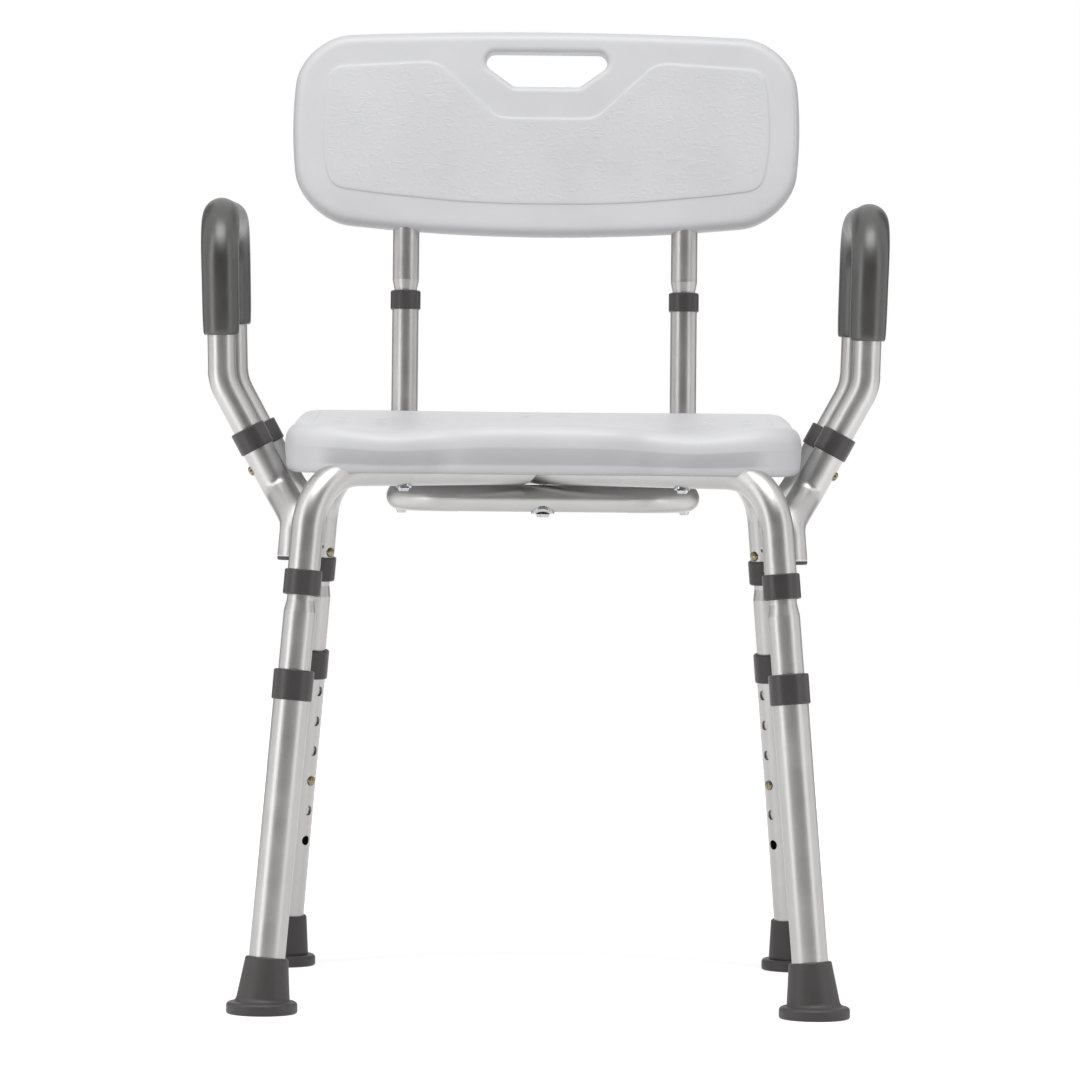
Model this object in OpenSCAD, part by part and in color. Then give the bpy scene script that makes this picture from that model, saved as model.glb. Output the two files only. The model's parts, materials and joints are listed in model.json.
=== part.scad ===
// Shower chair: a hollow plastic seat on two crossed aluminium tubes, four legs with snap-button
// heights, two arms that plug into welded sockets, and a backrest that plugs into two uprights.
// Millimetres, Z up. The origin is on the floor under the middle of the seat. The front faces -Y.

/* [Stance] */
// Distance between the left and right leg axes at the floor
feet_w = 433; // [410:1:450]
// Distance between the front and rear leg axes at the floor
feet_d = 378; // [360:1:390]
// Lean of each leg out of the vertical, towards its own corner
leg_lean = 6.35; // [5.5:0.05:7]
// Height of the axis of the crossed frame tubes
frame_z = 425; // [415:1:435]

/* [Tubes] */
// Outer diameter of the crossed frame tubes and the inner leg tubes
frame_d = 25.4; // [24:0.2:27]
// Wall of every tube
wall = 1.3; // [1.1:0.1:1.6]
// Gap all round between one tube and the tube that slides in it
fit = 0.3; // [0.3:0.05:0.4]
// Outer diameter of the back support tube and the arm tubes
light_d = 22.2; // [21:0.2:23]
// Radius of the frame tubes' bends, to the axis
frame_bend = 50; // [45:1:55]
// Radius of the back support tube's bends, to the axis
back_bend = 48; // [42:1:52]

/* [Heights] */
// Distance between two height holes
pitch = 25.4; // [22:0.1:26]
// Number of height holes in each outer leg tube
notches = 6; // [6:1:6]
// The hole, counted from the top, that the height button stands in
set_notch = 4; // [4:1:4]
// Height of the button that sets the leg's length
button_z = 158.8; // [155:0.2:162]
// Height of the lower end of the frame tubes' stubs
stub_end_z = 328; // [326:1:332]
// Height of the button that holds a leg in its stub
stub_button_z = 351.5; // [351:0.5:354]

/* [Seat] */
// Width of the seat
seat_w = 413; // [400:1:420]
// Depth of the seat
seat_d = 320; // [312:1:322]
// How far the seat's underside lies below the axis of the frame tubes in its channels
seat_drop = 2; // [0:0.5:3]
// Thickness of the seat at its front edge
seat_h = 40; // [38:1:44]
// Radius of the seat's corners, seen from above
seat_corner = 64; // [56:1:70]
// How far the seat's rear edge rises above its front edge
seat_rise = 7; // [4:1:9]
// Wall of the seat and of the backrest
shell = 3; // [2.6:0.1:3.4]

/* [Back] */
// Distance between the two uprights
post_w = 234; // [226:1:240]
// Lean of the uprights and the backrest out of the vertical
recline = 4.5; // [3.5:0.1:5]
// Distance of the uprights' axis behind the middle, at the seat's height
post_y = 175; // [175:0.5:178]
// Height of the uprights' upper ends
post_split_z = 566; // [556:1:572]
// Width of the backrest
back_w = 427; // [414:1:432]
// Height of the backrest, along its own slope
back_h = 173; // [166:1:180]
// Thickness of the backrest
back_t = 29; // [29:0.5:30]
// Height of the backrest's lower edge
back_z = 616; // [610:1:622]
// Radius of the backrest's corners
back_corner = 40; // [36:1:44]

/* [Arms] */
// Distance from the middle to the turn in each arm's posts
arm_x = 256; // [252:1:258]
// How far an arm's top stands out beyond that turn
arm_flare = 3.5; // [0:0.5:5]
// Half the distance between the front and rear posts of an arm
arm_y = 100; // [96:1:101]
// Height of the axis of an arm's top
arm_top_z = 626; // [616:1:634]
// Height at which the arm turns inwards
arm_turn_z = 494; // [490:1:500]
// Lean of the arm's plug and its socket out of the vertical
arm_lean = 28.5; // [27:0.25:29.5]
// Outer diameter of the foam grips
grip_d = 30; // [29:0.5:33]

/* [Hidden] */
$fn = 48;
corners = ["front_left", "front_right", "rear_left", "rear_right"];
sides = ["left", "right"];

plastic = [0.83, 0.83, 0.84];
metal = [0.72, 0.73, 0.75];
rubber = [0.33, 0.32, 0.31];
brass = [0.72, 0.62, 0.42];

eps = 0.05;              // how far a cut runs past the face that it cuts
hair = 0.2;              // how much thicker a bend's wall is, inside and out
lap = 1.5;               // how far a straight tube runs into a bend
cope_gap = 0.2;          // gap between a coped or pressed tube and what it lies on
seat_gap = 0.5;          // gap between the seat and the tubes in its channels
seat_z = frame_z - seat_drop;
swage_d = frame_d - 2 * wall - 2 * fit;           // plug at the top of an inner leg tube
outer_d = frame_d + 2 * fit + 2 * wall;           // outer leg tube
socket_d = light_d + 2 * fit + 2 * wall;          // arm socket
back_swage_d = light_d - 2 * wall - 2 * fit;      // plug at the bottom of a back post
foot_r = norm([feet_w, feet_d]) / 2;

// Snap buttons
button_d = 7.6;
button_hole_d = button_d + 2 * fit;
button_proud = 2.6;
button_press = button_proud + wall + fit + 0.1;
dome_r = 5.5;
flange_d = 9.6;
flange_t = 1;
leaf_t = 0.7;
leaf_w = 8;

// Seat fasteners
screw_d = 5;
centre_screw_d = 6;
screw_play = 0.3;
washer_t = 1.6;
head_h = 2.6;
head_d = 9.5;
centre_head_d = 12;
washer_d = 13;
centre_washer_d = 19;
front_screw_x = 111;     // distance from the middle to the front screws
insert_h = 11;
insert_wall = 2;
insert_gap = 0.1;        // gap all round an insert in its hole in the seat
boss_wall = 4.4;         // plastic left round an insert's hole

// Collars and feet
collar_wall = 2;
collar_gap = 0.15;
collar_h = [20, 24, 18.6, 16];      // on a stub, an outer leg, an arm socket, an upright
collar_hang = 1;                    // how far a collar reaches past the end of its tube
foot_flange_d = 56;
foot_flange_h = 10;
foot_h = 44;
foot_sole = 12;
foot_bevel = 2;
foot_cone_d = [42, 34];             // at the flange and at the top

crossbar_z = frame_z - frame_d / 2 - light_d / 2 - 0.3;
plug_l = 56;                        // length of a back post's plug inside an upright

// ---- Points and directions ----

// Angle, seen from above, at which a corner's leg stands: 0 to 3 as in corners
function side_x(i) = (i % 2 == 0) ? -1 : 1;
function side_y(i) = (i < 2) ? -1 : 1;
function leg_angle(i) = atan2(side_y(i) * feet_d, side_x(i) * feet_w);
function leg_reach(z) = foot_r - z * tan(leg_lean);
function leg_point(a, z) = [cos(a) * leg_reach(z), sin(a) * leg_reach(z), z];
function post_point(s, z) = [s * post_w / 2, post_y + (z - seat_z - seat_h) * tan(recline), z];
function unit(v) = v / norm(v);
function turn_of(p, i) = acos(unit(p[i] - p[i - 1]) * unit(p[i + 1] - p[i]));
function is_end(p, i) = i == 0 || i == len(p) - 1;
function cut_back(p, i, r) = is_end(p, i) ? 0 : r[i] * tan(turn_of(p, i) / 2);

// Puts its children at a height on a corner's leg axis, Z up the leg and X away from the chair
module on_leg(i, z) {
    translate(leg_point(leg_angle(i), z)) rotate([0, -leg_lean, leg_angle(i)]) children();
}

// Puts its children on an upright's axis, Z up the upright
module on_post(s, z) {
    translate(post_point(s, z)) rotate([-recline, 0, 0]) children();
}

// Puts its children on an arm socket's axis, Z up the socket and X away from the chair
module on_socket(i, z) {
    x = arm_x - (arm_turn_z - z) * tan(arm_lean);
    mirror([side_x(i) < 0 ? 1 : 0, 0, 0])
        translate([x, side_y(i) * arm_y, z]) rotate([0, arm_lean, 0]) children();
}

// ---- Bent tubes ----

module ring(d, inner) {
    difference() {
        circle(d = d);
        if (inner > 0) circle(d = inner);
    }
}

// Straight tube between two points
module straight(a, b, d, inner) {
    v = b - a;
    translate(a) rotate([0, acos(v[2] / norm(v)), atan2(v[1], v[0])]) rotate([0, 0, 60])
        linear_extrude(norm(v)) ring(d, inner);
}

// Round bend at point i of the path p. It is a hair thicker than the straights, which run a little
// way into it, so that the two meet along true edges.
module bend(p, i, r, d, inner) {
    u = unit(p[i] - p[i - 1]);
    w = unit(p[i + 1] - p[i]);
    n = unit(w - (w * u) * u);
    c = p[i] - u * cut_back(p, i, r) + n * r[i];
    z = cross(-n, u);
    multmatrix([[-n[0], u[0], z[0], c[0]], [-n[1], u[1], z[1], c[1]], [-n[2], u[2], z[2], c[2]],
                [0, 0, 0, 1]])
        rotate_extrude(angle = turn_of(p, i)) translate([r[i], 0])
            ring(d + 2 * hair, inner - 2 * hair);
}

// Tube along the path p, with a bend radius r[i] at each point between the ends; a solid rod if
// inner is 0
module bent_tube(p, r, d, inner) {
    for (i = [0:len(p) - 2]) {
        u = unit(p[i + 1] - p[i]);
        straight(p[i] + u * max(0, cut_back(p, i, r) - lap),
                 p[i + 1] - u * max(0, cut_back(p, i + 1, r) - lap), d, inner);
    }
    for (i = [1:len(p) - 2]) bend(p, i, r, d, inner);
}

module tube(d, h, t = wall) {
    linear_extrude(h) ring(d, d - 2 * t);
}

// ---- Snap buttons ----

// Distance from the tube's axis to the button's flange, inside a tube of this inner diameter
function flange_x(inner) = sqrt(pow(inner / 2, 2) - pow(flange_d / 2, 2)) - 0.2;

// Domed button that points along X through a tube of the inner diameter given and an outer tube
module snap_button(inner, outer) {
    base = flange_x(inner) - flange_t;
    tip = outer / 2 + button_proud;
    side = asin(button_d / 2 / dome_r);
    color(brass) rotate([0, 90, 0]) rotate_extrude() polygon(concat(
        [[0, base], [flange_d / 2, base], [flange_d / 2, base + flange_t],
         [button_d / 2, base + flange_t]],
        [for (k = [0:5]) let (a = side * (1 - k / 5)) [dome_r * sin(a), tip - dome_r * (1 - cos(a))]]));
}

// V-shaped leaf spring behind a button, its fold pointing down
module leaf_spring(inner) {
    near = flange_x(inner) - flange_t - 0.1;
    far = -sqrt(pow(inner / 2, 2) - pow(leaf_w / 2, 2)) + 0.1;
    color("silver") rotate([90, 0, 0]) translate([0, 0, -leaf_w / 2]) linear_extrude(leaf_w)
        polygon([[near, 6], [near, -5], [0.6, -26], [-0.6, -26], [far, -5], [far, 6],
                 [far + leaf_t, 6], [far + leaf_t, -5], [-0.1, -23], [near - leaf_t, -5],
                 [near - leaf_t, 6]]);
}

// Hole for a snap button through the wall on the X side
module button_cut(reach) {
    rotate([0, 90, 0]) cylinder(d = button_hole_d, h = reach);
}

// ---- Frame ----

frame_path_r = [0, frame_bend, frame_bend, 0];
function frame_path(a, end_z) = [leg_point(a, end_z), leg_point(a, frame_z),
                                 leg_point(a + 180, frame_z), leg_point(a + 180, end_z)];

// Side view of the flat pressed into a frame tube at the crossing, grown by a wall
module flat_profile(grow) {
    half = frame_d / 2 + 3;
    polygon([[-half - grow, cope_gap + grow], [half + grow, cope_gap + grow],
             [half + 12 + grow, -frame_d], [-half - 12 - grow, -frame_d]]);
}

module flat_prism(grow) {
    rotate([90, 0, 0]) translate([0, 0, -frame_d]) linear_extrude(2 * frame_d) flat_profile(grow);
}

// One frame tube from corner i over to the opposite corner, pressed flat at the crossing from below,
// or from above when over is false
module frame_tube(i, over) {
    a = leg_angle(i);
    p = frame_path(a, stub_end_z);
    color(metal) difference() {
        union() {
            difference() {
                bent_tube(p, frame_path_r, frame_d, frame_d - 2 * wall);
                translate([0, 0, frame_z]) rotate([0, 0, a]) mirror([0, 0, over ? 0 : 1]) flat_prism(0);
            }
            translate([0, 0, frame_z]) rotate([0, 0, a]) mirror([0, 0, over ? 0 : 1])
                intersection() {
                    difference() {
                        flat_prism(wall);
                        flat_prism(0);
                    }
                    rotate([0, 90, 0]) cylinder(d = frame_d - wall, h = 4 * frame_d, center = true);
                }
        }
        // bolt hole at the crossing
        translate([0, 0, frame_z - frame_d]) cylinder(d = centre_screw_d + 2 * screw_play, h = 2 * frame_d);
        // screw holes under the seat, and button holes in the stubs
        for (k = [0:3]) {
            translate([seat_screw_xy(k)[0], seat_screw_xy(k)[1], frame_z - frame_d])
                cylinder(d = screw_d + 2 * screw_play, h = 2 * frame_d);
            on_leg(k, stub_button_z) mirror([1, 0, 0]) button_cut(frame_d);
        }
    }
}

// Where the front screws (0, 1) and the rear screws (2, 3) go up into the seat
function seat_screw_xy(k) = let (x = side_x(k) * ((k < 2) ? front_screw_x : post_w / 2))
    [x, side_y(k) * abs(x) * feet_d / feet_w];

module back_support_tube() {
    run_y = post_point(1, crossbar_z)[1];
    p = [post_point(-1, post_split_z), [-post_w / 2, run_y, crossbar_z], [-post_w / 2, 0, crossbar_z],
         [post_w / 2, 0, crossbar_z], [post_w / 2, run_y, crossbar_z], post_point(1, post_split_z)];
    r = [0, back_bend, back_bend, back_bend, back_bend, 0];
    color(metal) difference() {
        bent_tube(p, r, light_d, light_d - 2 * wall);
        translate([0, 0, crossbar_z - light_d])
            cylinder(d = centre_screw_d + 2 * screw_play, h = 2 * light_d);
        for (k = [2:3])
            translate([seat_screw_xy(k)[0], seat_screw_xy(k)[1], crossbar_z - light_d])
                cylinder(d = screw_d + 2 * screw_play, h = 2 * light_d);
        for (s = [-1, 1]) on_post(s, back_button_z) rotate([0, 0, 90]) button_cut(light_d);
    }
}
back_button_z = post_split_z - 26;

// Socket for one arm post: straight where the arm plugs in, bent over to the leg stub, then straight
// down the stub's side
socket_top_z = arm_turn_z - 40;
socket_turn_z = 408;
socket_knee_z = 386;
socket_end_z = 357;
socket_bend = [20, 16];
socket_bite = 0.4;       // how far a socket and its leg would run into each other if it weren't coped
arm_button_z = 429;
function socket_x(z) = arm_x - (arm_turn_z - z) * tan(arm_lean);

// Point beside a corner's leg on the axis of the socket's lower end, on the side nearer the middle
function socket_foot(i, z) = let (a = leg_angle(i), w = a - side_x(i) * side_y(i) * 108,
                                  r = (frame_d + socket_d) / 2 - socket_bite)
    leg_point(a, z) + [cos(w) * r, sin(w) * r, 0];

// Room for the leg that a socket lies against
module leg_room(i) {
    on_leg(i, socket_end_z - socket_d) cylinder(d = frame_d + 2 * cope_gap, h = 5 * socket_d);
}

module arm_socket(i) {
    p = [[side_x(i) * socket_x(socket_top_z), side_y(i) * arm_y, socket_top_z],
         [side_x(i) * socket_x(socket_turn_z), side_y(i) * arm_y, socket_turn_z],
         socket_foot(i, socket_knee_z), socket_foot(i, socket_end_z - socket_d / 4)];
    color(metal) difference() {
        bent_tube(p, [0, socket_bend[0], socket_bend[1], 0], socket_d, socket_d - 2 * wall);
        on_socket(i, arm_button_z) button_cut(socket_d);
        // end cut level, and its side coped to the leg
        translate(socket_foot(i, socket_end_z) - [socket_d, socket_d, 2 * socket_d]) cube(2 * socket_d);
        leg_room(i);
    }
}

// Plastic plugs in the lower ends of the sockets
plug_cap = 3;
plug_depth = 9;
module socket_plugs() {
    for (i = [0:3]) color(rubber) difference() {
        translate(socket_foot(i, socket_end_z)) {
            translate([0, 0, -plug_cap - eps]) cylinder(d = socket_d, h = plug_cap);
            translate([0, 0, -plug_cap / 2]) rotate([0, -leg_lean, leg_angle(i)])
                cylinder(d = socket_d - 2 * wall - 2 * fit, h = plug_depth);
        }
        leg_room(i);
    }
}

// ---- Collars ----

// Ring with bevelled ends round a tube of diameter d, its middle at the origin
module collar(d, h, t = collar_wall) {
    bore = d / 2 + collar_gap;
    bevel = 0.8;
    color(rubber) rotate_extrude() polygon([
        [bore, -h / 2], [bore + t - bevel, -h / 2], [bore + t, -h / 2 + bevel],
        [bore + t, h / 2 - bevel], [bore + t - bevel, h / 2], [bore, h / 2]]);
}

module stub_collars() {
    for (i = [0:3]) on_leg(i, stub_end_z - collar_hang + collar_h[0] / 2) collar(frame_d, collar_h[0]);
}

module arm_collars() {
    for (i = [0:3]) on_socket(i, socket_top_z - 5) collar(socket_d, collar_h[2], 1.4);
}

module back_collars() {
    for (s = [-1, 1]) on_post(s, post_split_z - 4) collar(light_d, collar_h[3], 1.4);
}

// ---- Legs ----

// Distance up the leg from one height to another
function up_leg(from, to) = (to - from) / cos(leg_lean);

inner_end_z = 122;              // lower end of an inner leg tube
shoulder_z = stub_end_z - 14;   // where the inner tube starts to narrow
plug_top_z = 372;               // upper end of the inner tube's plug, inside the stub
outer_top_z = button_z + (set_notch - 1) * pitch * cos(leg_lean) + 33;

// Inner leg tube, narrowed at the top to plug into the stub
module leg_inner(i) {
    full = up_leg(inner_end_z, shoulder_z);
    taper = up_leg(shoulder_z, stub_end_z - 5);
    top = up_leg(inner_end_z, plug_top_z);
    color(metal) difference() {
        on_leg(i, inner_end_z) rotate_extrude() polygon([
            [frame_d / 2 - wall, 0], [frame_d / 2, 0], [frame_d / 2, full],
            [swage_d / 2, full + taper], [swage_d / 2, top], [swage_d / 2 - wall, top],
            [swage_d / 2 - wall, full + taper], [frame_d / 2 - wall, full]]);
        on_leg(i, button_z) mirror([1, 0, 0]) button_cut(frame_d);
        on_leg(i, stub_button_z) mirror([1, 0, 0]) button_cut(frame_d);
    }
}

module leg_springs(i) {
    on_leg(i, button_z) mirror([1, 0, 0]) leaf_spring(frame_d - 2 * wall);
    on_leg(i, stub_button_z) mirror([1, 0, 0]) leaf_spring(swage_d - 2 * wall);
}

module height_button(i) {
    on_leg(i, button_z) mirror([1, 0, 0]) snap_button(frame_d - 2 * wall, outer_d);
}

module stub_button(i) {
    on_leg(i, stub_button_z) mirror([1, 0, 0]) snap_button(swage_d - 2 * wall, frame_d);
}

// Outer leg tube with its row of height holes facing the middle of the chair
module leg_outer(i) {
    color(metal) difference() {
        on_leg(i, foot_sole) tube(outer_d, up_leg(foot_sole, outer_top_z));
        for (k = [1:notches])
            on_leg(i, button_z) translate([0, 0, (set_notch - k) * pitch])
                mirror([1, 0, 0]) button_cut(outer_d);
    }
}

module leg_collar(i) {
    on_leg(i, outer_top_z) translate([0, 0, collar_hang - collar_h[1] / 2])
        collar(outer_d, collar_h[1], 1.5);
}

// Rubber foot: a flat round flange on the floor, and a cone that leans with the leg
module foot(i) {
    c = leg_point(leg_angle(i), 0);
    r = foot_flange_d / 2;
    color(rubber) difference() {
        union() {
            translate([c[0], c[1], 0]) rotate_extrude() polygon([
                [0, 0], [r - foot_bevel / 2, 0], [r, foot_bevel / 2], [r, foot_flange_h - foot_bevel],
                [r - foot_bevel, foot_flange_h], [0, foot_flange_h]]);
            on_leg(i, foot_flange_h - 4) rotate([0, 0, 60])
                cylinder(d1 = foot_cone_d[0], d2 = foot_cone_d[1], h = foot_h - foot_flange_h + 4);
        }
        on_leg(i, foot_sole) rotate([0, 0, 60]) cylinder(d = outer_d + 0.2, h = foot_h);
    }
}

// ---- Arms ----

arm_end_z = arm_button_z - 9;   // above the socket's bend
arm_bend = 42;
arm_turn_r = 40;
grip_low_z = 531;

// Path of one arm's tube, from inside the front socket over the top to inside the rear one
function arm_path(s) = [
    [s * socket_x(arm_end_z), -arm_y, arm_end_z],
    [s * arm_x, -arm_y, arm_turn_z],
    [s * (arm_x + arm_flare), -arm_y, arm_top_z],
    [s * (arm_x + arm_flare), arm_y, arm_top_z],
    [s * arm_x, arm_y, arm_turn_z],
    [s * socket_x(arm_end_z), arm_y, arm_end_z]];
arm_r = [0, arm_turn_r, arm_bend, arm_bend, arm_turn_r, 0];

module arm_tube(s) {
    color(metal) difference() {
        bent_tube(arm_path(s), arm_r, light_d, light_d - 2 * wall);
        for (i = [0:3])
            if (side_x(i) == s) on_socket(i, arm_button_z) button_cut(light_d);
    }
}

// Foam grip over the arm's top and the upper part of its posts
module arm_grip(s) {
    p = arm_path(s);
    share = (grip_low_z - arm_turn_z) / (arm_top_z - arm_turn_z);
    color(rubber) bent_tube(
        [p[1] + (p[2] - p[1]) * share, p[2], p[3], p[4] + (p[3] - p[4]) * share],
        [0, arm_bend, arm_bend, 0], grip_d, light_d + 4 * hair + 0.2);
}

module arm_springs(s) {
    for (i = [0:3])
        if (side_x(i) == s) on_socket(i, arm_button_z) leaf_spring(light_d - 2 * wall);
}

module arm_button(i) {
    on_socket(i, arm_button_z) snap_button(light_d - 2 * wall, socket_d);
}

// ---- Seat ----

// Outline of a rounded rectangle as points: w by d with corners of radius r in n steps, then its
// straight sides cut into m
function round_rect(w, d, r, n) = [for (q = [0:3]) for (k = [0:n])
    let (a = 90 * q + 90 * k / n, cx = (q == 0 || q == 3) ? w / 2 - r : r - w / 2,
         cy = (q < 2) ? d / 2 - r : r - d / 2)
    [cx + r * cos(a), cy + r * sin(a)]];
function spread(p, m) = [for (i = [0:len(p) - 1]) let (a = p[i], b = p[(i + 1) % len(p)])
    for (k = [0:m - 1]) if (k == 0 || norm(b - a) > 30) a + (b - a) * k / m];

// Bulges an outline point by bx and by at the middles of its sides, in a shape w by d
function bulge(q, w, d, bx, by) = [q[0] + bx * 2 * q[0] / w * (1 - pow(2 * q[1] / d, 2)),
                                   q[1] + by * 2 * q[1] / d * (1 - pow(2 * q[0] / w, 2))];

// Plan outline of the seat: its front edge has two shallow dips between its three lobes
function dip(x) = exp(-pow((abs(x) - seat_w * 0.205) / 22, 2));
function seat_outline(inset) = [
    for (q = spread(round_rect(seat_w - 6 - 2 * inset, seat_d - 6 - 2 * inset, seat_corner - inset, 8), 9))
        let (p = bulge(q, seat_w, seat_d, 3, 3))
        [p[0], p[1] + 6 * dip(p[0]) * pow(max(0, -2 * p[1] / seat_d), 3)]];

// Height of the seat's top, a plane that rises to the rear
function seat_top(q) = seat_z + seat_h + seat_rise * (q[1] / seat_d + 0.5);

// The seat's rings, each [inset of the outline, share of the edge's height], from the underside up
seat_rings = [[12, 0], [4, 0.08], [0.8, 0.3], [0, 0.55], [1, 0.78], [4.5, 0.93], [13, 1]];

module seat_form() {
    rings = [for (g = seat_rings) [for (q = seat_outline(g[0]))
        [q[0], q[1], seat_z + (seat_top(q) - seat_z) * g[1]]]];
    n = len(rings[0]);
    points = [for (g = rings) each g];
    last = (len(rings) - 1) * n;
    polyhedron(points, concat(
        [[for (k = [0:n - 1]) k]],
        [for (g = [0:len(rings) - 2]) for (k = [0:n - 1]) each [
            [g * n + k, (g + 1) * n + k, (g + 1) * n + (k + 1) % n],
            [g * n + k, (g + 1) * n + (k + 1) % n, g * n + (k + 1) % n]]],
        [[for (k = [0:n - 1]) last + n - 1 - k]]));
}

// Solid rods that the frame tubes lie in. One is a hair wider, so that they cross cleanly.
module channels() {
    for (i = [0, 1])
        bent_tube(frame_path(leg_angle(i), stub_end_z), frame_path_r,
                  frame_d + 2 * (seat_gap + 0.1 * i), 0);
}

// Hollow inside the seat: a slab under the top, and four pockets between the channels
module seat_hollow() {
    slab_low = frame_z + frame_d / 2 + seat_gap + shell + 4;
    slab_high = seat_z + seat_h + seat_rise / 2 - shell - 2;
    tilt = atan(seat_rise / seat_d);
    translate([0, 0, slab_low]) rotate([tilt, 0, 0])
        linear_extrude(slab_high - slab_low) polygon(seat_outline(11));
    translate([0, 0, seat_z + shell]) linear_extrude(slab_low - seat_z - shell + 4) difference() {
        polygon(seat_outline(16));
        for (i = [0, 1]) rotate(leg_angle(i))
            square([seat_w + seat_d, frame_d + 2 * (seat_gap + shell)], center = true);
    }
}

// Bosses for the screws' inserts
function insert_hole(d) = d + 2 * insert_wall + 2 * insert_gap;
boss_h = frame_d / 2 + seat_gap + insert_h + 6;

// Drain holes in three groups: one under each thigh and one in the middle
drain_d = 7;
drain_pitch = 32;
drains = concat(
    [for (s = [-1, 1], ix = [-0.5, 0.5], iy = [-1:1])
        [s * seat_w * 0.36 + ix * drain_pitch, iy * drain_pitch]],
    [for (y = [-3.4, 2.6, 3.6], ix = [-0.5, 0.5]) [ix * drain_pitch, y * drain_pitch]]);

module seat() {
    color(plastic) difference() {
        seat_form();
        difference() {
            seat_hollow();
            for (k = [0:3])
                translate([seat_screw_xy(k)[0], seat_screw_xy(k)[1], seat_z])
                    cylinder(d = insert_hole(screw_d) + 2 * boss_wall, h = boss_h);
            translate([0, 0, seat_z]) cylinder(d = insert_hole(centre_screw_d) + 2 * boss_wall, h = boss_h);
            for (q = drains)
                translate([q[0], q[1], seat_z - seat_h]) cylinder(d = drain_d + 4, h = 3 * seat_h);
        }
        for (q = drains) translate([q[0], q[1], seat_z - eps]) cylinder(d = drain_d, h = 2 * seat_h);
        // vent in the underside, left by the moulding
        translate([0, -seat_d * 0.3, seat_z - eps]) cylinder(d = 5, h = 2 * shell);
        channels();
        for (k = [0:3])
            translate([seat_screw_xy(k)[0], seat_screw_xy(k)[1], frame_z])
                cylinder(d = insert_hole(screw_d), h = frame_d / 2 + seat_gap + insert_h + 1);
        translate([0, 0, frame_z])
            cylinder(d = insert_hole(centre_screw_d), h = frame_d / 2 + seat_gap + insert_h + 1);
    }
}

// ---- Fasteners in the seat ----

// Pan-head screw that points up, its head's upper face at the origin
module pan_screw(d, l, head_d) {
    color(metal) difference() {
        union() {
            cylinder(d = d, h = l);
            translate([0, 0, -head_h]) cylinder(d1 = head_d - 2.4, d2 = head_d, h = head_h);
        }
        for (a = [0, 90]) rotate([0, 0, a])
            translate([-head_d * 0.27, -0.6, -head_h - eps]) cube([head_d * 0.54, 1.2, 1.4]);
    }
}

// Washer curved to sit under a tube that runs along X, its lowest point at the origin
module saddle_washer(tube_d, d, hole) {
    color(metal) difference() {
        intersection() {
            cylinder(d = d, h = tube_d);
            translate([0, 0, tube_d / 2 + washer_t]) rotate([0, 90, 0])
                cylinder(d = tube_d + 2 * washer_t, h = d, center = true);
            translate([-d / 2, -d / 2, 0]) cube([d, d, tube_d * 0.3]);
        }
        translate([0, 0, tube_d / 2 + washer_t]) rotate([0, 90, 0])
            cylinder(d = tube_d + 0.1, h = 2 * d, center = true);
        translate([0, 0, -eps]) cylinder(d = hole, h = tube_d);
    }
}

// Heights of the undersides that the screws pull against
function screw_seat_z(k) = (k < 2) ? frame_z - frame_d / 2 : crossbar_z - light_d / 2;
insert_top_z = frame_z + frame_d / 2 + seat_gap + insert_h;

module seat_screws() {
    for (k = [0:3])
        translate([seat_screw_xy(k)[0], seat_screw_xy(k)[1], screw_seat_z(k) - washer_t])
            pan_screw(screw_d, insert_top_z - screw_seat_z(k), head_d);
    translate([0, 0, crossbar_z - light_d / 2 - washer_t])
        pan_screw(centre_screw_d, insert_top_z - crossbar_z + light_d / 2, centre_head_d);
}

module saddle_washers() {
    for (k = [0:3])
        translate([seat_screw_xy(k)[0], seat_screw_xy(k)[1], screw_seat_z(k) - washer_t])
            rotate([0, 0, (k < 2) ? leg_angle(k) : 90])
                saddle_washer((k < 2) ? frame_d : light_d, washer_d, screw_d + 2 * screw_play);
    translate([0, 0, crossbar_z - light_d / 2 - washer_t])
        saddle_washer(light_d, centre_washer_d, centre_screw_d + 2 * screw_play);
}

// Brass inserts that the screws turn into
module insert(d) {
    color(brass) linear_extrude(insert_h - 1) ring(d + 2 * insert_wall, d + 0.1);
}

module seat_inserts() {
    z = frame_z + frame_d / 2 + seat_gap + 1;
    for (k = [0:3]) translate([seat_screw_xy(k)[0], seat_screw_xy(k)[1], z]) insert(screw_d);
    translate([0, 0, z]) insert(centre_screw_d);
}

// ---- Back ----

post_top = back_h - 32;         // how far a post goes up inside the backrest
post_swage = 8;                 // length of the taper at the post's lower end

// Back post: narrowed at its lower end to plug into the upright
module back_post(s) {
    top = (back_z - post_split_z) / cos(recline) + post_top;
    color(metal) difference() {
        on_post(s, post_split_z) rotate_extrude() polygon([
            [back_swage_d / 2 - wall, -plug_l], [back_swage_d / 2, -plug_l],
            [back_swage_d / 2, 5], [light_d / 2, 5 + post_swage], [light_d / 2, top],
            [light_d / 2 - wall, top], [light_d / 2 - wall, 5 + post_swage],
            [back_swage_d / 2 - wall, 5]]);
        on_post(s, back_button_z) rotate([0, 0, 90]) button_cut(light_d);
        for (z = back_screw_up) on_post(s, back_z) translate([0, 0, z])
            rotate([-90, 0, 0]) cylinder(d = 4.4, h = light_d);
    }
}
back_screw_up = [30, 105];      // heights of the backrest's screws above its lower edge

module back_springs() {
    for (s = [-1, 1]) on_post(s, back_button_z) rotate([0, 0, 90]) leaf_spring(back_swage_d - 2 * wall);
}

module back_button(s) {
    on_post(s, back_button_z) rotate([0, 0, 90]) snap_button(back_swage_d - 2 * wall, light_d);
}

// Puts its children in the backrest's frame: X across, Y to the rear, Z up its slope from its lower edge
module on_back() {
    translate([0, post_point(1, back_z)[1], back_z]) rotate([-recline, 0, 0]) children();
}

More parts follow.
